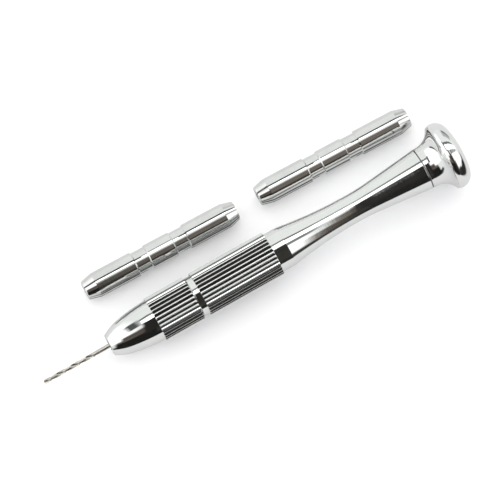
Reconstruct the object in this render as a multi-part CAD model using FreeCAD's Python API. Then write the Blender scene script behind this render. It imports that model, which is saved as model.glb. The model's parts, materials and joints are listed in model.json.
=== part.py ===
import FreeCAD, Part
import math
import os
from FreeCAD import Vector

os.makedirs("parts", exist_ok=True)

# Pin vise with a swivel head, lying on a flat surface beside its two spare collets.
# Lengths are in mm and angles in degrees. Every piece of the tool is first drawn on the X axis,
# with the face of the nose at X = 0 and the palm end towards +X, and is then laid down.

ORIGIN = Vector(0, 0, 0)
AXIS = Vector(1, 0, 0)
UP = Vector(0, 0, 1)
RUNNING_GAP = 0.05

# Nose cap: an ogive of two tangent arcs, then a fluted ring.
NOSE_FACE_RADIUS = 2.85
NOSE_EDGE = (0.28, 3.13)
NOSE_FRONT_ARC = [(2.39, 4.134), (4.70, 4.830)]
NOSE_REAR_ARC = [(9.50, 5.614), (13.90, 5.877)]
CAP_END = 25.8

# Fluted grip rings: straight V flutes between narrow crests, with a flute straight down.
RING_RADIUS = 6.35
RING_CORE_RADIUS = 5.6
RING_EDGE_ROUND = 0.3
FRONT_RING = (13.9, 25.8)
REAR_RING = (27.7, 50.2)
FLUTE_COUNT = 33
FLUTE_DEPTH = 0.48
CREST_WIDTH = 0.20

# Thread between the cap and the handle, right-handed, with a trapezium-shaped ridge.
PITCH = 1.0
MALE_ROOT_RADIUS = 4.42
MALE_CREST_RADIUS = 4.95
FEMALE_CREST_RADIUS = 4.52
FEMALE_ROOT_RADIUS = 5.05
RIDGE_ROOT_HALF = 0.40
RIDGE_CREST_HALF = 0.08
RIDGE_SINK = 0.1
MALE_THREAD = (15.4, 25.4)
FEMALE_THREAD = (14.9, 25.4)
CAP_THREAD_START = 14.3
SPIGOT_START = 14.9
THREAD_LEAD_IN = 0.35

# Handle: collar, rear ring, plain band, slim waist, rear cone, and a pivot for the head.
COLLAR_START = 26.0
COLLAR_RADIUS = 5.75
BAND_END = 54.2
BAND_RADIUS = 5.65
WAIST_MIDDLE = (64.6, 4.352)
WAIST = (75.0, 3.93)
CONE_MIDDLE = (78.25, 4.015)
CONE_START = (81.5, 4.27)
CONE_END_RADIUS = 5.80
HANDLE_END = 96.4
EDGE_BREAK = 0.12
PIVOT_RADIUS = 2.60
PIVOT_END = 99.95

# Double-ended collet: closing cone, jaw land, neck, centre land, then the same again reversed.
COLLET_START = 0.6
TAPER_LENGTH = 3.3
TIP_RADIUS = 2.65
LAND_LENGTH = 11.8
LAND_RADIUS = 3.50
NECK_LENGTH = 4.3
NECK_RADIUS = 3.10
CENTRE_LENGTH = 7.3
CENTRE_RADIUS = 3.44
COLLET_LENGTH = 2 * (TAPER_LENGTH + LAND_LENGTH + NECK_LENGTH) + CENTRE_LENGTH
SLOT_WIDTH = 0.4
SLOT_DEPTH = 17.4
MOUTH_BREAK = 0.15
NECK_CHAMFER = 0.3
COLLET_BORE_RADIUS = 3.60
CONE_GAP = 0.08
CONE_SLOPE = (LAND_RADIUS - TIP_RADIUS) / TAPER_LENGTH

# Front and rear gripping radius of the collet in use and of the two spares.
BORES_IN_USE = (0.62, 0.45)
BORES_FINE_SPARE = (0.80, 1.00)
BORES_WIDE_SPARE = (1.20, 1.60)

# Twist drill held by the collet.
DRILL_RADIUS = 0.60
DRILL_LENGTH = 38.0
DRILL_OUTSIDE = 20.1
POINT_HALF_ANGLE = 59.0
FLUTE_LEAD = 8.9
FLUTED_LENGTH = 15.2
FLUTE_CUT_RADIUS = 0.42
WEB_HALF = 0.15

# Swivel head: a flare that turns on the handle's pivot, closed by a domed cap.
FLARE_START = 96.65
FLARE_RADIUS = 5.80
FLARE_STRAIGHT = 97.3
FLARE_ARC_RADIUS = 5.6
RIM_X = 102.55
RIM_RADIUS = 9.22
WEB_END = 99.9
HEAD_POCKET_RADIUS = 5.4
DOME_SEAT_START = 101.5
DOME_SEAT_RADIUS = 6.9
DOME_WIDEST = 103.8
DOME_RADIUS = 9.60
DOME_EDGE_RADIUS = 3.55
DOME_TOP = 108.1
DOME_POCKET_RADIUS = 5.0
DOME_POCKET_END = 103.2

# Bearing washer in the seam, and the screw and washer that keep the head on the pivot.
THRUST_WASHER = (96.4, 96.6)
THRUST_WASHER_RADIUS = 5.35
RETAINING_WASHER_THICKNESS = 0.6
RETAINING_WASHER_RADIUS = 4.6
SCREW_RADIUS = 1.5
SCREW_LENGTH = 7.6
SCREW_HOLE_DEPTH = 8.4
SCREW_HEAD_RADIUS = 2.6
SCREW_HEAD_HEIGHT = 1.6
SCREW_SLOT_WIDTH = 0.7
SCREW_SLOT_DEPTH = 0.7

# Places of the spares on the surface, beside the tool: middle X, middle Y and yaw.
SPARE_SLOT_TURN = -5.0
FINE_SPARE_PLACE = (24.9, 16.55, -0.7)
WIDE_SPARE_PLACE = (78.0, 16.3, -0.9)


def at(point):
    """A (distance along the axis, radius) pair as a point of the drawing plane."""
    return Vector(point[0], 0, point[1])


def turned(first, *steps):
    """The solid turned from a closed outline. A step of one point is a straight line to it,
    and a step of two points is an arc through the first to the second."""
    edges = []
    here = at(first)
    for step in steps:
        points = [at(point) for point in step]
        if len(points) == 1:
            edges.append(Part.makeLine(here, points[0]))
        else:
            edges.append(Part.Arc(here, *points).toShape())
        here = points[-1]
    edges.append(Part.makeLine(here, at(first)))
    return Part.Face(Part.Wire(edges)).revolve(ORIGIN, AXIS, 360)


def tube(start, end, inner, outer):
    """A plain ring with square edges, or a disc if the inner radius is 0."""
    return turned((start, inner), [(start, outer)], [(end, outer)], [(end, inner)])


def one_solid(shape):
    """The single solid that a boolean result holds."""
    tidy = shape.removeSplitter()
    assert len(tidy.Solids) == 1
    return tidy.Solids[0]


def fluted_ring(start, end):
    """A grip ring with rounded ends: a star of flutes cut down to a round blank."""
    valley = RING_RADIUS - FLUTE_DEPTH
    half_step = math.pi / FLUTE_COUNT
    crest_angle = half_step - CREST_WIDTH / 2 / RING_RADIUS
    rise = RING_RADIUS * math.cos(crest_angle) - valley
    run = RING_RADIUS * math.sin(crest_angle)
    reach = valley * math.tan(half_step) / (run - rise * math.tan(half_step))
    peak = math.hypot(valley + rise * reach, run * reach)
    corners = []
    for number in range(2 * FLUTE_COUNT):
        radius = valley if number % 2 == 0 else peak
        angle = number * half_step
        corners.append(Vector(start, radius * math.sin(angle), -radius * math.cos(angle)))
    star = Part.Face(Part.makePolygon(corners + corners[:1]))
    star = star.extrude(Vector(end - start, 0, 0))
    low = RING_RADIUS - RING_EDGE_ROUND
    near = RING_EDGE_ROUND * (1 - math.sqrt(0.5))
    blank = turned(
        (start, 0),
        [(start, low)],
        [(start + near, RING_RADIUS - near), (start + RING_EDGE_ROUND, RING_RADIUS)],
        [(end - RING_EDGE_ROUND, RING_RADIUS)],
        [(end - near, RING_RADIUS - near), (end, low)],
        [(end, 0)],
    )
    return blank.common(star)


def thread_ridge(span, root_radius, crest_radius):
    """A right-handed helical ridge along X, whose root is sunk a little into its wall."""
    length = span[1] - span[0]
    outwards = 1 if crest_radius > root_radius else -1
    sunk = root_radius - outwards * RIDGE_SINK
    profile = [
        Vector(sunk, 0, -RIDGE_ROOT_HALF),
        Vector(root_radius, 0, -RIDGE_ROOT_HALF),
        Vector(crest_radius, 0, -RIDGE_CREST_HALF),
        Vector(crest_radius, 0, RIDGE_CREST_HALF),
        Vector(root_radius, 0, RIDGE_ROOT_HALF),
        Vector(sunk, 0, RIDGE_ROOT_HALF),
    ]
    helix = Part.makeHelix(PITCH, length, root_radius)
    wire = Part.makePolygon(profile + profile[:1])
    ridge = Part.Wire(helix.Edges).makePipeShell([wire], True, True)
    ridge.rotate(ORIGIN, Vector(0, 1, 0), 90)
    ridge.translate(Vector(span[0], 0, 0))
    return ridge


def make_nose_cap():
    """The nose: bored for the collet, with a closing cone in front and a thread behind."""
    outer = turned(
        (0, 0),
        [(0, NOSE_FACE_RADIUS)],
        [NOSE_EDGE],
        NOSE_FRONT_ARC,
        NOSE_REAR_ARC,
        [(FRONT_RING[0], RING_CORE_RADIUS)],
        [(CAP_END, RING_CORE_RADIUS)],
        [(CAP_END, 0)],
    )
    mouth = TIP_RADIUS + CONE_GAP - COLLET_START * CONE_SLOPE
    cone_end = (COLLET_BORE_RADIUS - mouth) / CONE_SLOPE
    bore = turned(
        (-1, 0),
        [(-1, mouth + MOUTH_BREAK)],
        [(0, mouth + MOUTH_BREAK)],
        [(MOUTH_BREAK, mouth + MOUTH_BREAK * CONE_SLOPE)],
        [(cone_end, COLLET_BORE_RADIUS)],
        [(CAP_THREAD_START, COLLET_BORE_RADIUS)],
        [(CAP_THREAD_START, FEMALE_ROOT_RADIUS)],
        [(CAP_END - THREAD_LEAD_IN, FEMALE_ROOT_RADIUS)],
        [(CAP_END + THREAD_LEAD_IN, FEMALE_ROOT_RADIUS + 2 * THREAD_LEAD_IN)],
        [(CAP_END + THREAD_LEAD_IN, 0)],
    )
    shell = outer.fuse(fluted_ring(*FRONT_RING)).cut(bore)
    thread = thread_ridge(FEMALE_THREAD, FEMALE_ROOT_RADIUS, FEMALE_CREST_RADIUS)
    return one_solid(shell.fuse(thread))


def make_handle():
    """The grip: a threaded spigot for the cap, the rear ring, the waist and the pivot."""
    outer = turned(
        (SPIGOT_START, 0),
        [(SPIGOT_START, MALE_ROOT_RADIUS - EDGE_BREAK)],
        [(SPIGOT_START + EDGE_BREAK, MALE_ROOT_RADIUS)],
        [(COLLAR_START, MALE_ROOT_RADIUS)],
        [(COLLAR_START, COLLAR_RADIUS - EDGE_BREAK)],
        [(COLLAR_START + EDGE_BREAK, COLLAR_RADIUS)],
        [(REAR_RING[0] + EDGE_BREAK, COLLAR_RADIUS)],
        [(REAR_RING[1] - EDGE_BREAK, BAND_RADIUS)],
        [(BAND_END, BAND_RADIUS)],
        [WAIST_MIDDLE, WAIST],
        [CONE_MIDDLE, CONE_START],
        [(HANDLE_END - EDGE_BREAK, CONE_END_RADIUS)],
        [(HANDLE_END, CONE_END_RADIUS - EDGE_BREAK)],
        [(HANDLE_END, PIVOT_RADIUS)],
        [(PIVOT_END - EDGE_BREAK, PIVOT_RADIUS)],
        [(PIVOT_END, PIVOT_RADIUS - EDGE_BREAK)],
        [(PIVOT_END, 0)],
    )
    collet_end = COLLET_START + COLLET_LENGTH
    seat_start = collet_end - (COLLET_BORE_RADIUS - TIP_RADIUS - CONE_GAP) / CONE_SLOPE
    seat_end = collet_end + RUNNING_GAP
    seat_radius = TIP_RADIUS + CONE_GAP - RUNNING_GAP * CONE_SLOPE
    bore = turned(
        (SPIGOT_START - 1, 0),
        [(SPIGOT_START - 1, COLLET_BORE_RADIUS)],
        [(seat_start, COLLET_BORE_RADIUS)],
        [(seat_end, seat_radius)],
        [(seat_end + drill_point(seat_radius), 0)],
    )
    shell = outer.fuse(fluted_ring(*REAR_RING)).cut(bore).cut(screw_hole())
    thread = thread_ridge(MALE_THREAD, MALE_ROOT_RADIUS, MALE_CREST_RADIUS)
    return one_solid(shell.fuse(thread))


def drill_point(radius):
    """How far a drill's point reaches past the end of a hole of this radius."""
    return radius / math.tan(math.radians(POINT_HALF_ANGLE))


def screw_hole():
    """The blind hole in the end of the pivot that takes the pivot screw."""
    bottom = PIVOT_END - SCREW_HOLE_DEPTH
    return turned(
        (bottom - drill_point(SCREW_RADIUS), 0),
        [(bottom, SCREW_RADIUS)],
        [(PIVOT_END + 1, SCREW_RADIUS)],
        [(PIVOT_END + 1, 0)],
    )


def make_collet(start, bores):
    """A double-ended collet, whose front tip is at start: four jaws at each end."""
    half = [(0, TIP_RADIUS), (TAPER_LENGTH, LAND_RADIUS)]
    land_end = TAPER_LENGTH + LAND_LENGTH
    half.append((land_end, LAND_RADIUS))
    half.append((land_end + NECK_CHAMFER, NECK_RADIUS))
    neck_end = land_end + NECK_LENGTH
    half.append((neck_end - NECK_CHAMFER, NECK_RADIUS))
    half.append((neck_end, CENTRE_RADIUS))
    other_half = [(COLLET_LENGTH - x, radius) for x, radius in reversed(half)]
    steps = [[(start + x, radius)] for x, radius in half + other_half]
    blank = turned((start, 0), *steps, [(start + COLLET_LENGTH, 0)])
    return one_solid(blank.cut(collet_bore(start, *bores)).cut(collet_slots(start)))


def collet_bore(start, front_radius, rear_radius):
    """The through hole of a collet, one size from each end to the middle."""
    middle = start + COLLET_LENGTH / 2
    end = start + COLLET_LENGTH
    return turned(
        (start - 1, 0),
        [(start - 1, front_radius + MOUTH_BREAK)],
        [(start, front_radius + MOUTH_BREAK)],
        [(start + MOUTH_BREAK, front_radius)],
        [(middle, front_radius)],
        [(middle, rear_radius)],
        [(end - MOUTH_BREAK, rear_radius)],
        [(end, rear_radius + MOUTH_BREAK)],
        [(end + 1, rear_radius + MOUTH_BREAK)],
        [(end + 1, 0)],
    )


def collet_slots(start):
    """Two crossed saw cuts in each end of a collet, which part its jaws."""
    reach = LAND_RADIUS + 1
    cut_length = SLOT_DEPTH + 1
    cuts = []
    for cut_start in (start - 1, start + COLLET_LENGTH - SLOT_DEPTH):
        for turn in (0, 90):
            corner = Vector(cut_start, -SLOT_WIDTH / 2, -reach)
            cut = Part.makeBox(cut_length, SLOT_WIDTH, 2 * reach, corner)
            cut.rotate(ORIGIN, AXIS, turn)
            cuts.append(cut)
    return cuts[0].multiFuse(cuts[1:])


def make_drill_bit():
    """A twist drill: a pointed rod with two helical flutes and a plain shank."""
    tip = -DRILL_OUTSIDE
    rod = turned(
        (tip, 0),
        [(tip + drill_point(DRILL_RADIUS), DRILL_RADIUS)],
        [(tip + DRILL_LENGTH, DRILL_RADIUS)],
        [(tip + DRILL_LENGTH, 0)],
    )
    centre = WEB_HALF + FLUTE_CUT_RADIUS
    climb = FLUTE_LEAD / (2 * math.pi * centre)
    for turn in (0, 180):
        helix = Part.makeHelix(FLUTE_LEAD, FLUTED_LENGTH + 1, centre)
        circle = Part.makeCircle(FLUTE_CUT_RADIUS, Vector(centre, 0, 0), Vector(0, 1, climb))
        flute = Part.Wire(helix.Edges).makePipeShell([Part.Wire(circle)], True, True)
        flute.rotate(ORIGIN, UP, turn)
        flute.rotate(ORIGIN, Vector(0, 1, 0), 90)
        flute.translate(Vector(tip - 1, 0, 0))
        rod = rod.cut(flute)
    return one_solid(rod)


def make_head_flare():
    """The trumpet-shaped part of the swivel head, bored to turn on the pivot."""
    centre = FLARE_RADIUS + FLARE_ARC_RADIUS
    halfway = math.radians(33)
    arc_middle = (
        FLARE_STRAIGHT + FLARE_ARC_RADIUS * math.sin(halfway),
        centre - FLARE_ARC_RADIUS * math.cos(halfway),
    )
    bore_radius = PIVOT_RADIUS + RUNNING_GAP
    return turned(
        (FLARE_START, bore_radius),
        [(FLARE_START, FLARE_RADIUS - EDGE_BREAK)],
        [(FLARE_START + EDGE_BREAK, FLARE_RADIUS)],
        [(FLARE_STRAIGHT, FLARE_RADIUS)],
        [arc_middle, (RIM_X - EDGE_BREAK, RIM_RADIUS)],
        [(RIM_X, RIM_RADIUS - EDGE_BREAK)],
        [(RIM_X, DOME_SEAT_RADIUS)],
        [(DOME_SEAT_START, DOME_SEAT_RADIUS)],
        [(DOME_SEAT_START, HEAD_POCKET_RADIUS)],
        [(WEB_END, HEAD_POCKET_RADIUS)],
        [(WEB_END, bore_radius)],
    )


def make_head_dome():
    """The palm rest: a domed cap whose skirt is pressed into the flare."""
    edge_centre = DOME_RADIUS - DOME_EDGE_RADIUS
    rise = DOME_TOP - DOME_WIDEST
    crown_radius = (
        (rise**2 - DOME_EDGE_RADIUS**2 + edge_centre**2) / (2 * (rise - DOME_EDGE_RADIUS))
    )
    lean = math.asin(edge_centre / (crown_radius - DOME_EDGE_RADIUS))
    crown_centre = DOME_TOP - crown_radius

    def on_edge(angle):
        return (
            DOME_WIDEST + DOME_EDGE_RADIUS * math.cos(angle),
            edge_centre + DOME_EDGE_RADIUS * math.sin(angle),
        )

    def on_crown(angle):
        return crown_centre + crown_radius * math.cos(angle), crown_radius * math.sin(angle)

    edge_halfway = (math.pi / 2 + lean) / 2
    shoulder = (DOME_WIDEST - RIM_X) / 2
    swell = (DOME_RADIUS - RIM_RADIUS) / 4
    return turned(
        (DOME_SEAT_START, DOME_POCKET_RADIUS),
        [(DOME_SEAT_START, DOME_SEAT_RADIUS)],
        [(RIM_X, DOME_SEAT_RADIUS)],
        [(RIM_X, RIM_RADIUS)],
        [(DOME_WIDEST - shoulder, DOME_RADIUS - swell), (DOME_WIDEST, DOME_RADIUS)],
        [on_edge(edge_halfway), on_edge(lean)],
        [on_crown(lean / 2), (DOME_TOP, 0)],
        [(DOME_POCKET_END, 0)],
        [(DOME_POCKET_END, DOME_POCKET_RADIUS)],
    )


def make_thrust_washer():
    """The thin bearing washer in the seam between the handle and the head."""
    return tube(*THRUST_WASHER, PIVOT_RADIUS + RUNNING_GAP / 2, THRUST_WASHER_RADIUS)


def make_retaining_washer():
    """The washer on the end of the pivot that keeps the head from coming off."""
    end = PIVOT_END + RETAINING_WASHER_THICKNESS
    return tube(PIVOT_END, end, SCREW_RADIUS + RUNNING_GAP, RETAINING_WASHER_RADIUS)


def make_pivot_screw():
    """The slotted screw that holds the retaining washer on the pivot."""
    seat = PIVOT_END + RETAINING_WASHER_THICKNESS
    top = seat + SCREW_HEAD_HEIGHT
    screw = turned(
        (seat - SCREW_LENGTH, 0),
        [(seat - SCREW_LENGTH, SCREW_RADIUS - EDGE_BREAK)],
        [(seat - SCREW_LENGTH + EDGE_BREAK, SCREW_RADIUS)],
        [(seat, SCREW_RADIUS)],
        [(seat, SCREW_HEAD_RADIUS)],
        [(top - EDGE_BREAK, SCREW_HEAD_RADIUS)],
        [(top, SCREW_HEAD_RADIUS - EDGE_BREAK)],
        [(top, 0)],
    )
    corner = Vector(top - SCREW_SLOT_DEPTH, -SCREW_HEAD_RADIUS - 1, -SCREW_SLOT_WIDTH / 2)
    width = 2 * SCREW_HEAD_RADIUS + 2
    slot = Part.makeBox(SCREW_SLOT_DEPTH + 1, width, SCREW_SLOT_WIDTH, corner)
    return one_solid(screw.cut(slot))


def lay_down(shape):
    """Leans the tool so that two crests of its front ring, and its head, touch the surface."""
    contact = RING_RADIUS * math.cos(math.pi / FLUTE_COUNT - CREST_WIDTH / 2 / RING_RADIUS)
    lean = math.asin((DOME_RADIUS - contact) / (DOME_WIDEST - FRONT_RING[0]))
    shape.rotate(ORIGIN, Vector(0, 1, 0), -math.degrees(lean))
    touch = FRONT_RING[0] + RING_EDGE_ROUND
    shape.translate(UP * (contact * math.cos(lean) - touch * math.sin(lean)))
    return shape


def place_spare(bores, place):
    """A spare collet lying on the surface, with its middle at place and turned by its yaw."""
    middle_x, middle_y, yaw = place
    spare = make_collet(-COLLET_LENGTH / 2, bores)
    spare.rotate(ORIGIN, AXIS, SPARE_SLOT_TURN)
    spare.rotate(ORIGIN, UP, yaw)
    spare.translate(Vector(middle_x, middle_y, LAND_RADIUS))
    return spare


tool = {
    "nose_cap": make_nose_cap(),
    "handle": make_handle(),
    "collet": make_collet(COLLET_START, BORES_IN_USE),
    "drill_bit": make_drill_bit(),
    "head_flare": make_head_flare(),
    "head_dome": make_head_dome(),
    "thrust_washer": make_thrust_washer(),
    "retaining_washer": make_retaining_washer(),
    "pivot_screw": make_pivot_screw(),
}
pieces = {name: lay_down(shape) for name, shape in tool.items()}
pieces["spare_collet_fine"] = place_spare(BORES_FINE_SPARE, FINE_SPARE_PLACE)
pieces["spare_collet_wide"] = place_spare(BORES_WIDE_SPARE, WIDE_SPARE_PLACE)

# The origin is put on the surface, under the middle of everything.
extent = Part.makeCompound(list(pieces.values())).optimalBoundingBox(False, False)
to_origin = Vector(-extent.Center.x, -extent.Center.y, -extent.ZMin)
for name, shape in pieces.items():
    shape.translate(to_origin)
    shape.exportStep(f"parts/{name}.step")
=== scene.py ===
import json
import math
from collections import namedtuple

import bpy
import numpy as np
from mathutils import Matrix, Vector


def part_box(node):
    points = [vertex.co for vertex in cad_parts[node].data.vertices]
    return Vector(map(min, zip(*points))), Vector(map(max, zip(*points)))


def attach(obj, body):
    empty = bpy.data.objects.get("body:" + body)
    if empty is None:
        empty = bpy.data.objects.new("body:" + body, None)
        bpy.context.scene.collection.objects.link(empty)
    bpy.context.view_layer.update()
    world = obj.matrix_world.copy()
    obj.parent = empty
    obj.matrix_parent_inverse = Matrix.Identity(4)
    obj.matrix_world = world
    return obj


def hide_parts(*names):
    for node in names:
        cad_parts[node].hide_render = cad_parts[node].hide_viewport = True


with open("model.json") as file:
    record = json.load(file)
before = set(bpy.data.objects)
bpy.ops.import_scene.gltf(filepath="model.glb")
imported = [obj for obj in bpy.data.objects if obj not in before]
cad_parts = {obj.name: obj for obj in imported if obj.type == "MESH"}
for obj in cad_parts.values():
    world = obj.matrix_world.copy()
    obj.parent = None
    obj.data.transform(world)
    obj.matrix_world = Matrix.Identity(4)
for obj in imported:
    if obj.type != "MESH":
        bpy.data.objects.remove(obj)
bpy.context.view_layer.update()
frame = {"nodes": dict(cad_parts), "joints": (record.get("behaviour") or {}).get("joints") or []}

# Pin vise with a swivel head, lying beside its two spare collets.
# Pieces are drawn in mm along their own X axis, with the nose face or the collet's tip at X = 0,
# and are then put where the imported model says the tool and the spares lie.

MM = 0.001
JOINTS = {joint["name"]: joint for joint in frame["joints"]}
TOOL_AXIS = Vector(JOINTS["head_spin"]["axis"]).normalized()
NOSE_FACE = Vector(JOINTS["nose_cap_turn"]["pos_m"])

FLUTE_COUNT = 33
RING_RADIUS = 6.35
VALLEY_RADIUS = 5.87
ABOVE_VALLEY = 0.03
RING_EDGE = 0.3
RING_FOOT = 0.12
FRONT_RING = (13.9, 25.8)
REAR_RING = (27.7, 50.2)
CREST_HALF = math.degrees(0.15 / RING_RADIUS)
FLUTE_HALF = 180 / FLUTE_COUNT
CREST_DROP = 0.055
SMOOTH_BELOW = math.radians(24)
THREAD_PITCH = 1.0
SMOOTH_ROUND = 256
TWISTED_ROUND = 72
COLLET_ROUND = 128


def arc(start, middle, end, count):
    """Points along the circular arc from start through middle to end, without its start."""
    (ax, ay), (bx, by), (cx, cy) = start, middle, end
    d = 2 * (ax * (by - cy) + bx * (cy - ay) + cx * (ay - by))
    a2, b2, c2 = ax * ax + ay * ay, bx * bx + by * by, cx * cx + cy * cy
    ux = (a2 * (by - cy) + b2 * (cy - ay) + c2 * (ay - by)) / d
    uy = (a2 * (cx - bx) + b2 * (ax - cx) + c2 * (bx - ax)) / d
    first = math.atan2(ay - uy, ax - ux)
    last = math.atan2(cy - uy, cx - ux)
    turn = (last - first + math.pi) % (2 * math.pi) - math.pi
    radius = math.hypot(ax - ux, ay - uy)
    return [
        (ux + radius * math.cos(first + turn * i / count), uy + radius * math.sin(first + turn * i / count))
        for i in range(1, count + 1)
    ]


def path(start, *steps):
    """Points of an outline. A step is one point, or (middle, end, count) for an arc."""
    points = [start]
    for step in steps:
        if isinstance(step[0], tuple):
            points += arc(points[-1], *step)
        else:
            points.append(step)
    return points


def even_angles(count):
    return np.arange(count) * 2 * math.pi / count


def flute_angles():
    """Angles round a fluted ring, with a flute straight down and more angles over each crest."""
    over_crest = np.linspace(-1.2, 1.2, 7) * CREST_HALF
    flank = np.linspace(-1, -1.3 * CREST_HALF / FLUTE_HALF, 5) * FLUTE_HALF
    offsets = np.concatenate([flank, over_crest, -flank[:0:-1]])
    crests = (np.arange(FLUTE_COUNT) + 0.5) * 2 * FLUTE_HALF
    return np.radians(np.add.outer(crests, offsets).ravel())


def flute_radius(angles):
    """The radius of the flutes at these angles: a worn, rounded crest between two valleys."""
    offset = np.abs(np.degrees(angles) % (2 * FLUTE_HALF) - FLUTE_HALF)
    down = (offset - CREST_HALF) / (FLUTE_HALF - CREST_HALF)
    crest = RING_RADIUS - CREST_DROP * (offset / CREST_HALF) ** 2
    flank = RING_RADIUS - CREST_DROP - (RING_RADIUS - CREST_DROP - VALLEY_RADIUS) * down
    return np.where(down < 0, crest, flank)


def ring(x, radius, angles):
    """Points round the X axis, where angle 0 is straight down."""
    radius = np.broadcast_to(radius, angles.shape)
    return np.stack([np.full(angles.shape, x), radius * np.sin(angles), -radius * np.cos(angles)], 1)


def skin(rings, closed=False):
    """Vertices and faces of a surface through rings of points, closed on itself or at both ends."""
    count = len(rings[0])
    points = np.concatenate(rings)
    rows = len(rings)
    faces = []
    column = np.arange(count)
    after = (column + 1) % count
    for row in range(rows if closed else rows - 1):
        here = row * count
        there = (row + 1) % rows * count
        quads = np.stack([here + column, here + after, there + after, there + column], 1)
        faces += quads.tolist()
    if not closed:
        faces.append(list(range(count))[::-1])
        faces.append([(rows - 1) * count + i for i in range(count)])
    return points, faces


def merged(*parts):
    """Several (points, faces) surfaces as one."""
    points, faces, start = [], [], 0
    for part_points, part_faces in parts:
        points.append(part_points)
        faces += [[start + i for i in face] for face in part_faces]
        start += len(part_points)
    return np.concatenate(points), faces


def placement(origin, axis):
    """The matrix that puts a piece drawn in mm along X at an origin and along an axis."""
    side = Vector((0, 0, 1)).cross(axis).normalized()
    up = axis.cross(side)
    turn = Matrix((axis, side, up)).transposed().to_4x4()
    return Matrix.Translation(origin) @ turn @ Matrix.Scale(MM, 4)


ON_TOOL = placement(NOSE_FACE, TOOL_AXIS)


def piece(name, surface, place, body, nodes, material):
    """Makes one object of the visual model and rides it on its body."""
    points, faces = surface
    mesh = bpy.data.meshes.new(name)
    mesh.from_pydata(points.tolist(), [], faces)
    mesh.transform(place)
    mesh.validate()
    mesh.polygons.foreach_set("use_smooth", [True] * len(mesh.polygons))
    mesh.set_sharp_from_angle(angle=SMOOTH_BELOW)
    mesh.materials.append(material)
    made = bpy.data.objects.new(name, mesh)
    bpy.context.scene.collection.objects.link(made)
    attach(made, body)
    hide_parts(*nodes)
    return made


STEPS_A_TURN = 60
FADE_STEPS = 12
FADED_HEIGHT = 0.02
RIDGE_SUNK = 0.05
SUNK_HALF = 0.42
ROOT_HALF = 0.40
CREST_FLAT_HALF = 0.08


def thread_ridge(first, turns, root, crest):
    """A right-handed helical ridge on a wall of radius root, that fades out at both ends."""
    total = int(turns * STEPS_A_TURN)
    steps = np.arange(total + 1)
    angles = steps * 2 * math.pi / STEPS_A_TURN
    fade = np.clip(np.minimum(steps, steps[::-1]) / FADE_STEPS, FADED_HEIGHT, 1)
    sunk = root - math.copysign(RIDGE_SUNK, crest - root)
    top = root + (crest - root) * fade
    rows = []
    front = ((sunk, -SUNK_HALF), (root, -ROOT_HALF), (top, -CREST_FLAT_HALF))
    back = ((top, CREST_FLAT_HALF), (root, ROOT_HALF), (sunk, SUNK_HALF))
    for radius, offset in front + back:
        radius = np.broadcast_to(radius, angles.shape)
        x = first + THREAD_PITCH * angles / (2 * math.pi) + offset
        rows.append(np.stack([x, radius * np.sin(angles), -radius * np.cos(angles)], 1))
    rings = [np.stack([row[i] for row in rows]) for i in range(total + 1)]
    points, faces = skin(rings)
    if crest < root:
        faces = [face[::-1] for face in faces]
    return points, faces


LONG_RUN = 1.0
BRACE = 0.03


def braced(outline):
    """An outline with extra points near the ends of its long straight runs, so they shade flat."""
    points = [outline[0]]
    for start, end in zip(outline, outline[1:]):
        length = math.dist(start, end)
        if length > LONG_RUN:
            share = BRACE / length
            points += [tuple(np.interp(share, (0, 1), pair) for pair in zip(start, end)),
                       tuple(np.interp(1 - share, (0, 1), pair) for pair in zip(start, end))]
        points.append(end)
    return points


def revolve(outline, angles, fluted=(0, 0)):
    """Rings for an outline of (x, radius) points. Inside the fluted span the flutes cut in."""
    flutes = flute_radius(angles)
    rings = []
    for x, radius in braced(outline):
        inside = fluted[0] <= x <= fluted[1] and radius > VALLEY_RADIUS + ABOVE_VALLEY
        rings.append(ring(x, np.minimum(radius, flutes) if inside else radius, angles))
    return rings


def ring_outline(start, end):
    """The outline of a fluted ring's blank, with rounded ends."""
    low, near = RING_RADIUS - RING_EDGE, RING_EDGE * (1 - math.sqrt(0.5))
    first = path(
        (start, low - RING_FOOT),
        (start, low),
        ((start + near, RING_RADIUS - near), (start + RING_EDGE, RING_RADIUS), 5),
    )
    return first + [(start + end - x, radius) for x, radius in reversed(first)]


def nose_surface():
    """Ogive, fluted ring, threaded rear bore, collet bore and closing cone, as one closed skin."""
    outline = path(
        (0.14, 2.62),
        (0.02, 2.72),
        (0.0, 2.78),
        ((0.07, 2.98), (0.28, 3.13), 4),
        ((2.39, 4.134), (4.70, 4.830), 24),
        ((9.50, 5.614), (13.90, 5.877), 36),
    )
    outline += ring_outline(*FRONT_RING)
    outline += [(25.8, 5.52), (25.68, 5.40), (25.45, 5.05), (14.3, 5.05), (14.3, 3.60), (3.977, 3.60)]
    points, faces = skin(revolve(outline, flute_angles(), FRONT_RING), closed=True)
    return merged((points, faces), thread_ridge(14.9, 10.5, 5.05, 4.52))


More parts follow.
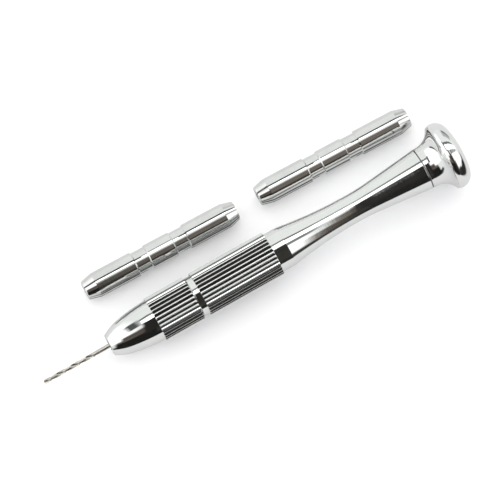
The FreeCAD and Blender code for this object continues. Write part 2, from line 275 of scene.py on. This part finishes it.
def handle_surface():
    """Bore, threaded spigot, collar, fluted ring, band, waist, cone, pivot and screw hole."""
    outline = path(
        (48.3, 0.02),
        (46.75, 2.717),
        (43.32, 3.60),
        (15.0, 3.60),
        (14.9, 3.70),
        (14.9, 4.30),
        (15.02, 4.42),
        (26.0, 4.42),
        (26.0, 5.63),
        ((26.035, 5.715), (26.12, 5.75), 3),
        (REAR_RING[0], 5.75),
    )
    outline += ring_outline(*REAR_RING)
    outline += path(
        (REAR_RING[1], 5.65),
        (54.12, 5.65),
        (54.2, 5.636),
        ((64.6, 4.352), (75.0, 3.93), 60),
        ((78.25, 4.015), (81.5, 4.27), 24),
    )
    cone = np.linspace((81.5, 4.27), (96.28, 5.80), 12)[1:]
    outline += [tuple(point) for point in cone]
    outline += path(
        (96.28, 5.80),
        ((96.365, 5.765), (96.4, 5.68), 3),
        (96.4, 2.60),
        (99.83, 2.60),
        (99.95, 2.48),
        (99.95, 1.52),
        (91.55, 1.50),
        (90.65, 0.02),
    )[1:]
    points, faces = skin(revolve(outline, flute_angles(), REAR_RING))
    return merged((points, faces), thread_ridge(15.4, 10.0, 4.42, 4.95))


def flare_surface():
    outline = path(
        (99.9, 2.65),
        (96.65, 2.65),
        (96.65, 5.68),
        ((96.685, 5.765), (96.77, 5.80), 3),
        (97.3, 5.80),
        ((100.35, 6.703), (102.43, 9.22), 40),
        ((102.515, 9.185), (102.55, 9.10), 3),
        (102.55, 6.90),
        (101.5, 6.90),
        (101.5, 5.40),
        (99.9, 5.40),
    )
    return skin(revolve(outline, even_angles(SMOOTH_ROUND)), closed=True)


DOME_WIDEST = 103.8
DOME_RADIUS = 9.60
DOME_EDGE_RADIUS = 3.55
DOME_APEX = 108.1


def dome_surface():
    """The palm cap: a pocket, a skirt, a quick swell to the widest line, and a flat crown."""
    edge_centre = DOME_RADIUS - DOME_EDGE_RADIUS
    rise = DOME_APEX - DOME_WIDEST
    crown = (rise**2 - DOME_EDGE_RADIUS**2 + edge_centre**2) / (2 * (rise - DOME_EDGE_RADIUS))
    lean = math.asin(edge_centre / (crown - DOME_EDGE_RADIUS))

    def on_edge(angle):
        x = DOME_WIDEST + DOME_EDGE_RADIUS * math.cos(angle)
        return x, edge_centre + DOME_EDGE_RADIUS * math.sin(angle)

    def on_crown(angle):
        return DOME_APEX - crown + crown * math.cos(angle), crown * math.sin(angle)

    outline = path(
        (103.2, 0.02),
        (103.2, 5.0),
        (101.5, 5.0),
        (101.5, 6.9),
        (102.55, 6.9),
        (102.55, 9.12),
        ((102.575, 9.19), (102.62, 9.23), 3),
        ((103.175, 9.495), (DOME_WIDEST, DOME_RADIUS), 12),
        (on_edge((math.pi / 2 + lean) / 2), on_edge(lean), 30),
        (on_crown(lean / 2), (DOME_APEX, 0.02), 24),
    )
    return skin(revolve(outline, even_angles(SMOOTH_ROUND)))


def drill_surface():
    """A two-flute twist drill, ground to a point, with its plain shank in the collet."""
    radius, tip, length = 0.60, -20.1, 38.0
    lead, fluted, run_out = 8.9, 15.0, 1.4
    cut, centre = 0.42, 0.57
    angles = even_angles(TWISTED_ROUND)
    slope = math.tan(math.radians(59))
    stations = [tip + 0.36 * i / 8 for i in range(9)]
    stations += list(np.arange(tip + 0.45, tip + fluted + run_out + 0.1, 0.12))
    stations += [tip + fluted + 2.0, -1.0, 0.0, tip + length - 0.1, tip + length]
    rings = []
    for x in stations:
        out = max(0.0, (x - tip - fluted) / run_out)
        middle = centre + 0.46 * min(out, 1.0)
        turn = angles - 2 * math.pi * (x - tip) / lead
        swing = np.abs((turn + math.pi / 2) % math.pi - math.pi / 2)
        under = np.maximum(cut**2 - (middle * np.sin(swing)) ** 2, 0)
        floor = middle * np.cos(swing) - np.sqrt(under)
        hollow = (middle * np.sin(swing) < cut) & (swing < math.pi / 2)
        section = np.where(hollow, np.minimum(floor, radius), radius)
        limit = max((x - tip) * slope, 0.012)
        if x == stations[-1]:
            limit = radius - 0.1
        rings.append(ring(x, np.minimum(section, limit), angles))
    return skin(rings)


COLLET_LENGTH = 46.1
SLOT_DEPTH = 17.4
SLOT_HALF = 0.2
BORE_CHAMFER = 0.15
OUTER_POINTS = 21
BORE_POINTS = 9
COLLET_END = [(0.0, 2.52), (0.06, 2.62), (0.18, 2.70), (3.24, 3.485), (3.36, 3.50)]
COLLET_END += [(15.02, 3.50), (15.10, 3.47), (15.40, 3.10)]
COLLET_NECK = [(SLOT_DEPTH, 3.10), (19.10, 3.10), (19.36, 3.40), (19.44, 3.44)]


def jaw(stations, bore, quarter):
    """One jaw of a collet's end: a quarter of the wall, less half a saw cut on either side."""
    rings = []
    for x, outer in stations:
        inner = bore + max(0.0, BORE_CHAMFER - x)
        row = []
        for radius, count, back in ((outer, OUTER_POINTS, False), (inner, BORE_POINTS, True)):
            edge = math.asin(SLOT_HALF / radius)
            turn = np.linspace(edge, math.pi / 2 - edge, count)
            row.append(ring(x, radius, (turn[::-1] if back else turn) + quarter * math.pi / 2))
        rings.append(np.concatenate(row))
    return skin(rings)


def collet_surface(bores):
    """A double-ended collet: four jaws at each end of a waisted middle."""
    stations = braced([(0.0, 2.50)] + COLLET_END[1:] + [(SLOT_DEPTH, 3.10)])
    parts = []
    for bore, far in ((bores[0], False), (bores[1], True)):
        for quarter in range(4):
            points, faces = jaw(stations, bore, quarter)
            if far:
                points = points * (-1, 1, 1) + (COLLET_LENGTH, 0, 0)
                faces = [face[::-1] for face in faces]
            parts.append((points, faces))
    outline = COLLET_NECK + [(COLLET_LENGTH - x, radius) for x, radius in reversed(COLLET_NECK)]
    middle = COLLET_LENGTH / 2
    outline += [(COLLET_LENGTH - SLOT_DEPTH, bores[1]), (middle, bores[1])]
    outline += [(middle, bores[0]), (SLOT_DEPTH, bores[0])]
    parts.append(skin(revolve(outline, even_angles(COLLET_ROUND)), closed=True))
    return merged(*parts)


# Materials -----------------------------------------------------------------------------------


class Nodes:
    """A small helper that adds and links shader nodes."""

    def __init__(self, tree):
        self.tree = tree
        tree.nodes.clear()

    def add(self, kind, inputs=None, **settings):
        node = self.tree.nodes.new(kind)
        for key, value in settings.items():
            setattr(node, key, value)
        for key, value in (inputs or {}).items():
            if isinstance(value, bpy.types.NodeSocket):
                self.tree.links.new(value, node.inputs[key])
            else:
                node.inputs[key].default_value = value
        return node

    def math(self, operation, *values, clamp=False):
        node = self.add("ShaderNodeMath", dict(enumerate(values)), operation=operation, use_clamp=clamp)
        return node.outputs[0]

    def spread(self, value, from_low, from_high, to_low, to_high):
        inputs = {1: from_low, 2: from_high, 3: to_low, 4: to_high, 0: value}
        return self.add("ShaderNodeMapRange", inputs).outputs[0]


SEAM_MIDDLE = 96.525
SEAM_HALF = 0.14
SEAM_RADIUS = 5.77
# Dirt and painted shade: the flute bottoms and the seam before the head are painted near black, for the dirt
# in these hollows and for the shade that falls in them.
DIRT_AND_PAINTED_SHADE_COLOUR = (0.03, 0.03, 0.03, 1)
DIRT_AND_SHADE_ROUGHNESS = 0.25
DIRT_AND_SHADE_STARTS = 6.14
DIRT_AND_SHADE_IS_FULL = 6.02
DIRT_AND_SHADE_ENDS = 5.85
WAIST_ROUGHNESS = 0.05
WAIST_MARKS = 0.9
DENT_DEPTH = 0.02
PIT_ROUGHNESS = 0.25


def round_an_axis(nodes, place, origin, axis):
    """How far a point is along an axis, and how far away from it, both in metres."""
    offset = nodes.add("ShaderNodeVectorMath", {0: place, 1: origin}, operation="SUBTRACT").outputs[0]
    along = nodes.add("ShaderNodeVectorMath", {0: offset, 1: axis}, operation="DOT_PRODUCT")
    cross = nodes.add("ShaderNodeVectorMath", {0: offset, 1: axis}, operation="CROSS_PRODUCT").outputs[0]
    away = nodes.add("ShaderNodeVectorMath", {0: cross}, operation="LENGTH")
    return along.outputs["Value"], away.outputs["Value"]


FACE_TRAVEL = 1.3
COARSE_PITCH = 7
COARSE_HEIGHT = 8.0


def tool_marks(nodes, along, away, pitch):
    """The height of fine and coarse circular turning marks. On an end face they follow the radius."""
    travel = nodes.math("MULTIPLY_ADD", away, FACE_TRAVEL, along)
    fine = nodes.add(
        "ShaderNodeTexNoise",
        {"W": nodes.math("MULTIPLY", travel, 1 / (pitch * MM)), "Scale": 1.0, "Detail": 3.0,
         "Roughness": 0.7},
        noise_dimensions="1D",
    ).outputs["Fac"]
    coarse = nodes.add(
        "ShaderNodeTexNoise",
        {"W": nodes.math("MULTIPLY", travel, 1 / (COARSE_PITCH * pitch * MM)), "Scale": 1.0,
         "Detail": 2.0},
        noise_dimensions="1D",
    ).outputs["Fac"]
    return nodes.math("MULTIPLY_ADD", coarse, COARSE_HEIGHT, fine)


def small_nicks(nodes, place, strength):
    """A few small pits, in patches."""
    cells = nodes.add("ShaderNodeTexVoronoi", {"Vector": place, "Scale": 420.0, "Randomness": 1.0})
    pit = nodes.spread(cells.outputs["Distance"], 0.0, 0.10, 1.0, 0.0)
    patches = nodes.add("ShaderNodeTexNoise", {"Vector": place, "Scale": 120.0, "Detail": 1.0})
    return nodes.math("MULTIPLY", pit, nodes.spread(patches.outputs["Fac"], 0.62, 0.70, 0.0, strength))


def dirt_and_painted_shade_in_chrome(nodes, along, away, strength):
    """Where dirt lies and shade is painted: near black in the bottoms of the flutes on both rings, and in
    the seam before the head.
    """
    deep = nodes.spread(away, DIRT_AND_SHADE_STARTS * MM, DIRT_AND_SHADE_IS_FULL * MM, 0.0, strength)
    on_ring = nodes.math("GREATER_THAN", along, (FRONT_RING[0] + 0.02) * MM)
    on_ring = nodes.math("MULTIPLY", on_ring, nodes.math("LESS_THAN", along, (REAR_RING[1] - 0.02) * MM))
    on_ring = nodes.math("MULTIPLY", on_ring, nodes.math("GREATER_THAN", away, DIRT_AND_SHADE_ENDS * MM))
    deep = nodes.math("MULTIPLY", deep, on_ring)
    from_seam = nodes.math("ABSOLUTE", nodes.math("SUBTRACT", along, SEAM_MIDDLE * MM))
    in_seam = nodes.math("MULTIPLY", nodes.math("LESS_THAN", from_seam, SEAM_HALF * MM),
                         nodes.math("LESS_THAN", away, SEAM_RADIUS * MM))
    return nodes.math("MAXIMUM", deep, in_seam)


def on_the_waist(nodes, along):
    """1 along the waist and cone, whose turning marks were polished less."""
    return nodes.math("MULTIPLY", nodes.spread(along, 55 * MM, 64 * MM, 0.0, 1.0),
                      nodes.spread(along, 96.3 * MM, 93 * MM, 0.0, 1.0))


# colour and tint are mixed by the smudges. The marks' height and pitch are in mm.
Metal = namedtuple("Metal", "colour tint roughness mark_height mark_pitch")


def turned_metal(name, metal, origin, axis, nicks, dirt_and_shade=0.0):
    """Bright turned metal: circular tool marks round an axis, smudges, nicks and, on chrome, dirt and
    painted shade in the flute bottoms and the seam.
    """
    material = bpy.data.materials.new(name)
    material.use_nodes = True
    nodes = Nodes(material.node_tree)
    place = nodes.add("ShaderNodeTexCoord").outputs["Object"]
    along, away = round_an_axis(nodes, place, origin, axis)
    smudge = nodes.add(
        "ShaderNodeTexNoise",
        {"Vector": place, "Scale": 170.0, "Detail": 4.0, "Roughness": 0.6, "Distortion": 0.4},
    ).outputs["Fac"]
    pit = small_nicks(nodes, place, nicks)
    height = tool_marks(nodes, along, away, metal.mark_pitch)
    rough = nodes.spread(smudge, 0.35, 0.72, metal.roughness * 0.7, metal.roughness * 1.7)
    rough = nodes.math("MULTIPLY_ADD", pit, PIT_ROUGHNESS, rough)
    shade = nodes.add(
        "ShaderNodeMix",
        {0: nodes.spread(smudge, 0.45, 0.75, 0.0, 1.0), 6: (*metal.colour, 1), 7: (*metal.tint, 1)},
        data_type="RGBA",
    ).outputs[2]
    if dirt_and_shade:
        waist = on_the_waist(nodes, along)
        height = nodes.math("MULTIPLY", height, nodes.math("MULTIPLY_ADD", waist, WAIST_MARKS, 1.0))
        # the flute bottoms and the seam are painted near black: dirt and painted shade
        deep = dirt_and_painted_shade_in_chrome(nodes, along, away, dirt_and_shade)
        shade = nodes.add("ShaderNodeMix", {0: deep, 6: shade, 7: DIRT_AND_PAINTED_SHADE_COLOUR}, data_type="RGBA").outputs[2]
        rough = nodes.math("MULTIPLY_ADD", deep, DIRT_AND_SHADE_ROUGHNESS, rough)
        rough = nodes.math("MULTIPLY_ADD", waist, WAIST_ROUGHNESS, rough)
    bump = nodes.add(
        "ShaderNodeBump", {"Strength": 1.0, "Distance": metal.mark_height * MM, "Height": height}
    )
    dent = nodes.add(
        "ShaderNodeBump",
        {"Strength": 1.0, "Distance": DENT_DEPTH * MM, "Height": pit, "Normal": bump.outputs[0]},
        invert=True,
    )
    surface = nodes.add(
        "ShaderNodeBsdfPrincipled",
        {"Base Color": shade, "Metallic": 1.0, "Roughness": rough, "Normal": dent.outputs[0]},
    )
    nodes.add("ShaderNodeOutputMaterial", {"Surface": surface.outputs[0]})
    return material


def spare_place(node, yaw):
    """Where a spare collet's front tip lies, and which way the collet points."""
    low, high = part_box(node)
    axis = Vector((math.cos(math.radians(yaw)), math.sin(math.radians(yaw)), 0))
    centre = (low + high) / 2
    return centre - axis * COLLET_LENGTH / 2 * MM, axis


FINE_YAW = -0.7
WIDE_YAW = -0.9
fine_tip, fine_axis = spare_place("spare_collet_fine", FINE_YAW)
wide_tip, wide_axis = spare_place("spare_collet_wide", WIDE_YAW)

CHROME = Metal(colour=(0.80, 0.81, 0.80), tint=(0.76, 0.775, 0.765), roughness=0.045,
               mark_height=0.00035, mark_pitch=0.16)
STEEL = Metal(colour=(0.74, 0.745, 0.735), tint=(0.66, 0.66, 0.65), roughness=0.055,
              mark_height=0.00012, mark_pitch=0.10)
DRILL_STEEL = Metal(colour=(0.62, 0.585, 0.53), tint=(0.46, 0.43, 0.39), roughness=0.22,
                    mark_height=0.0006, mark_pitch=0.05)
INNER_STEEL = Metal(colour=(0.30, 0.295, 0.285), tint=(0.22, 0.215, 0.21), roughness=0.32,
                    mark_height=0.0010, mark_pitch=0.12)

# the chrome's flute bottoms and seam are painted near black, as dirt and painted shade
chrome = turned_metal("bright_chrome", CHROME, NOSE_FACE, TOOL_AXIS, nicks=1.0, dirt_and_shade=0.97)
collet_steel = turned_metal("turned_steel", STEEL, NOSE_FACE, TOOL_AXIS, nicks=0.8)
fine_steel = turned_metal("turned_steel_fine", STEEL, fine_tip, fine_axis, nicks=1.0)
wide_steel = turned_metal("turned_steel_wide", STEEL, wide_tip, wide_axis, nicks=1.0)
drill_steel = turned_metal("ground_high_speed_steel", DRILL_STEEL, NOSE_FACE, TOOL_AXIS, nicks=0.3)
inner_steel = turned_metal("plain_inner_steel", INNER_STEEL, NOSE_FACE, TOOL_AXIS, nicks=0.3)

# Pieces --------------------------------------------------------------------------------------

piece("chromed_nose_cap", nose_surface(), ON_TOOL, "cap", ["nose_cap"], chrome)
piece("chromed_grip", handle_surface(), ON_TOOL, "grip", ["handle"], chrome)
piece("chromed_flare", flare_surface(), ON_TOOL, "palm_head", ["head_flare"], chrome)
piece("chromed_palm_dome", dome_surface(), ON_TOOL, "palm_head", ["head_dome"], chrome)
piece("twist_drill", drill_surface(), ON_TOOL, "drill", ["drill_bit"], drill_steel)

COLLET_SET_BACK = 0.6
SLOT_DEGREES = -5
IN_CHUCK = ON_TOOL @ Matrix.Translation((COLLET_SET_BACK, 0, 0))
SLOT_TURN = Matrix.Rotation(math.radians(SLOT_DEGREES), 4, "X")
piece("collet_in_chuck", collet_surface((0.62, 0.45)), IN_CHUCK, "collet_in_use", ["collet"],
      collet_steel)
piece("loose_fine_collet", collet_surface((0.80, 1.00)), placement(fine_tip, fine_axis) @ SLOT_TURN,
      "fine_spare", ["spare_collet_fine"], fine_steel)
piece("loose_wide_collet", collet_surface((1.20, 1.60)), placement(wide_tip, wide_axis) @ SLOT_TURN,
      "wide_spare", ["spare_collet_wide"], wide_steel)

for name in ("thrust_washer", "retaining_washer", "pivot_screw"):
    for holder in frame["nodes"][name].material_slots:
        holder.material = inner_steel

# Camera --------------------------------------------------------------------------------------

VIEW_TURN = math.radians(29.7)
VIEW_HEIGHT = math.radians(76.0)
LENS_MM = 374.0
DISTANCE = 1.398
TARGET = Vector((0.00229, 0.00017, 0.0))

away = Vector((math.sin(VIEW_TURN), math.cos(VIEW_TURN), 0))
rightwards = Vector((math.cos(VIEW_TURN), -math.sin(VIEW_TURN), 0))
look = away * math.cos(VIEW_HEIGHT) - Vector((0, 0, 1)) * math.sin(VIEW_HEIGHT)
camera_data = bpy.data.cameras.new("camera")
camera_data.lens = LENS_MM
camera_data.sensor_width = 36.0
camera_data.clip_start = 0.05
camera_data.clip_end = 50.0
camera = bpy.data.objects.new("camera", camera_data)
camera.location = TARGET - look * DISTANCE
camera.rotation_mode = "QUATERNION"
camera.rotation_quaternion = look.to_track_quat("-Z", "Y")
bpy.context.scene.collection.objects.link(camera)
bpy.context.scene.camera = camera

# Floor and light -----------------------------------------------------------------------------


def seen_in_chrome(nodes):
    """1 for a ray that reaches this shader by mirror reflections alone, and 0 for any other."""
    rays = nodes.add("ShaderNodeLightPath").outputs
    direct = nodes.math("LESS_THAN", rays["Diffuse Depth"], 0.5)
    return nodes.math("MULTIPLY", rays["Is Glossy Ray"], direct)


def painted_dark_table(nodes):
    """1 where dark is painted on the table, for the chrome alone to mirror. Places are world metres, as the
    floor isn't turned.
    """
    x, y, _ = nodes.add(
        "ShaderNodeSeparateXYZ", {0: nodes.add("ShaderNodeTexCoord").outputs["Object"]}
    ).outputs

    def ramp(place, dark_from, dark_to):
        return nodes.spread(place, dark_from, dark_to, 0.0, 1.0)

    def both(first, second):
        return nodes.math("MULTIPLY", first, second)

    # painted dark reflections: the near edge, where the photographer stands, and its corner, which only the
    # dome mirrors
    near_edge = both(ramp(y, -0.17, -0.24), both(ramp(x, 0.16, 0.04), ramp(x, -0.6, -0.4)))
    corner = both(ramp(x, 0.074, 0.084), ramp(y, -0.022, -0.04))
    # a painted shadow: the narrow strip right behind the tool, in its own shadow, which draws the chrome's
    # far outline
    across = both(ramp(y, 0.0042, 0.0022), ramp(y, -0.0035, -0.0015))
    behind = both(across, both(ramp(x, 0.062, 0.050), nodes.spread(x, -0.05, -0.038, 0.0, 0.9)))
    return nodes.math("MAXIMUM", nodes.math("MAXIMUM", near_edge, corner), behind)


def table_material():
    """A white table. In the chrome it is painted dimmer, with a faint painted glow, and painted dark in
    places.
    """
    material = bpy.data.materials.new("white_table")
    material.use_nodes = True
    nodes = Nodes(material.node_tree)
    table = nodes.add("ShaderNodeBsdfDiffuse", {"Color": (0.93, 0.93, 0.935, 1)})
    # painted reflection: in the chrome the table is painted dimmer, with a faint painted glow
    dimmer = nodes.add("ShaderNodeBsdfDiffuse", {"Color": (0.59, 0.59, 0.59, 1)})
    painted_glow_in_chrome = nodes.add("ShaderNodeEmission", {"Color": (0.10, 0.10, 0.10, 1), "Strength": 1.0})
    dimmer = nodes.add("ShaderNodeAddShader", {0: dimmer.outputs[0], 1: painted_glow_in_chrome.outputs[0]})
    # painted dark reflection and painted shadow of the table, seen only in the chrome
    dark = nodes.add("ShaderNodeEmission", {"Color": (0.03, 0.03, 0.03, 1), "Strength": 1.0})
    mirrored = nodes.add("ShaderNodeMixShader",
                         {0: painted_dark_table(nodes), 1: dimmer.outputs[0], 2: dark.outputs[0]})
    surface = nodes.add("ShaderNodeMixShader",
                        {0: seen_in_chrome(nodes), 1: table.outputs[0], 2: mirrored.outputs[0]})
    nodes.add("ShaderNodeOutputMaterial", {"Surface": surface.outputs[0]})
    return material


FLOOR_HALF = 4.0
FLOOR_DROP = 0.00002
floor_corners = [(-1, -1), (1, -1), (1, 1), (-1, 1)]
floor_mesh = bpy.data.meshes.new("floor")
floor_mesh.from_pydata([(x * FLOOR_HALF, y * FLOOR_HALF, 0) for x, y in floor_corners], [], [(0, 1, 2, 3)])
floor_mesh.materials.append(table_material())
floor = bpy.data.objects.new("floor", floor_mesh)
floor.location.z = -FLOOR_DROP
bpy.context.scene.collection.objects.link(floor)

# everything the chrome mirrors: over from and to, beside from and to, softness, and how bright
GEAR = [
    ("left window", -26, 75, -75, -21, 10, (1.5, 1.5, 1.5)),
    ("right window", -64, -18, 19, 70, 5, (1.5, 1.5, 1.5)),
    ("window's frame", -13, 0, 15, 26, 3, (0.27, 0.27, 0.27)),
    ("window's far frame", -12, -4, 26, 62, 4, (0.46, 0.46, 0.46)),
    ("softbox's edge", 25, 30, -9, 60, 3, (0.15, 0.16, 0.15)),
    ("softbox's hood", 18, 26, 12, 24, 4, (0.20, 0.20, 0.20)),
    ("overhead softbox", 2, 19, -8, 72, 2, (2.4, 2.4, 2.4)),
    ("far wall", 60, 90, 34, 60, 9, (0.52, 0.52, 0.52)),
    ("far wall's foot", 80, 92, 36, 60, 4, (0.20, 0.20, 0.20)),
    ("stand", 2, 36, -18, -13, 4, (0.10, 0.10, 0.10)),
    ("chair", -116, -73, -4, 34, 5, (0.050, 0.050, 0.047)),
    ("chair's back", -116, -80, 26, 64, 5, (0.030, 0.030, 0.029)),
    ("photographer's shoulder", -68, -42, 12, 15, 4, (0.30, 0.26, 0.23)),
    ("photographer's arm", -74, -42, 5, 12, 4, (0.085, 0.072, 0.060)),
    ("photographer's hand", -46, -13, 3, 9, 4, (0.19, 0.165, 0.145)),
    ("photographer's sleeve", -62, -20, -30, -8, 8, (0.11, 0.088, 0.075)),
    ("photographer's coat", -60, -38, -44, -20, 9, (0.13, 0.11, 0.10)),
    ("photographer's foot", -112, -76, -60, -40, 7, (0.06, 0.06, 0.06)),
    ("photographer", -112, -48, -43, 3, 6, (0.014, 0.014, 0.013)),
    ("camera's strap", -74, -2, 0, 4, 2, (0.040, 0.038, 0.034)),
    ("camera", -52, 2, -8, 1, 3, (0.022, 0.021, 0.020)),
    ("far table edge", 82, 125, -72, -44, 6, (0.12, 0.12, 0.12)),
]
ROOM = (0.98, 1.0, 0.985, 1)
TENT_NEAR = (1.06, 1.06, 1.07, 1)
TENT_FAR = (1.66, 1.66, 1.65, 1)
WAVER_DEGREES = 10.0


def room_in_chrome(sky, over, beside):
    """The colour of the room in a direction: plain walls, with each piece of gear laid over them."""

    def between(value, low, high, soft):
        rise = sky.spread(value, low - soft, low, 0.0, 1.0)
        return sky.math("MULTIPLY", rise, sky.spread(value, high, high + soft, 1.0, 0.0))

    room = ROOM
    for title, over_from, over_to, beside_from, beside_to, soft, glow in GEAR:
        mask = sky.math("MULTIPLY", between(over, over_from, over_to, soft),
                        between(beside, beside_from, beside_to, soft))
        mix = sky.add("ShaderNodeMix", {0: mask, 6: room, 7: (*glow, 1)}, data_type="RGBA", label=title)
        room = mix.outputs[2]
    return room


def studio_world():
    """A soft tent that lights the table, and the room that the chrome mirrors."""
    world = bpy.data.worlds.new("studio")
    world.use_nodes = True
    sky = Nodes(world.node_tree)
    direction = sky.add("ShaderNodeTexCoord").outputs["Generated"]
    x, y, z = sky.add("ShaderNodeSeparateXYZ", {0: direction}).outputs
    # over: degrees from straight up, away from the camera; beside: degrees towards the tool's head
    over = sky.math("MULTIPLY", sky.math("ARCTAN2", y, z), 180 / math.pi)
    beside = sky.math("MULTIPLY", sky.math("ARCSINE", x), 180 / math.pi)
    waver = sky.add("ShaderNodeTexNoise", {"Vector": direction, "Scale": 6.0, "Detail": 2.0}).outputs["Fac"]
    waver = sky.math("MULTIPLY", sky.math("SUBTRACT", waver, 0.5), WAVER_DEGREES)
    over = sky.math("ADD", over, waver)
    # the table is lit by the whole tent, which is brighter beyond the object
    tent = sky.add("ShaderNodeMix", {0: sky.spread(over, -30.0, 30.0, 0.0, 1.0), 6: TENT_NEAR, 7: TENT_FAR},
                   data_type="RGBA").outputs[2]
    colour = sky.add("ShaderNodeMix",
                     {0: seen_in_chrome(sky), 6: tent, 7: room_in_chrome(sky, over, beside)},
                     data_type="RGBA").outputs[2]
    glow = sky.add("ShaderNodeBackground", {"Color": colour, "Strength": 1.0})
    sky.add("ShaderNodeOutputWorld", {"Surface": glow.outputs[0]})
    return world


bpy.context.scene.world = studio_world()
bpy.context.scene.view_settings.view_transform = "Standard"
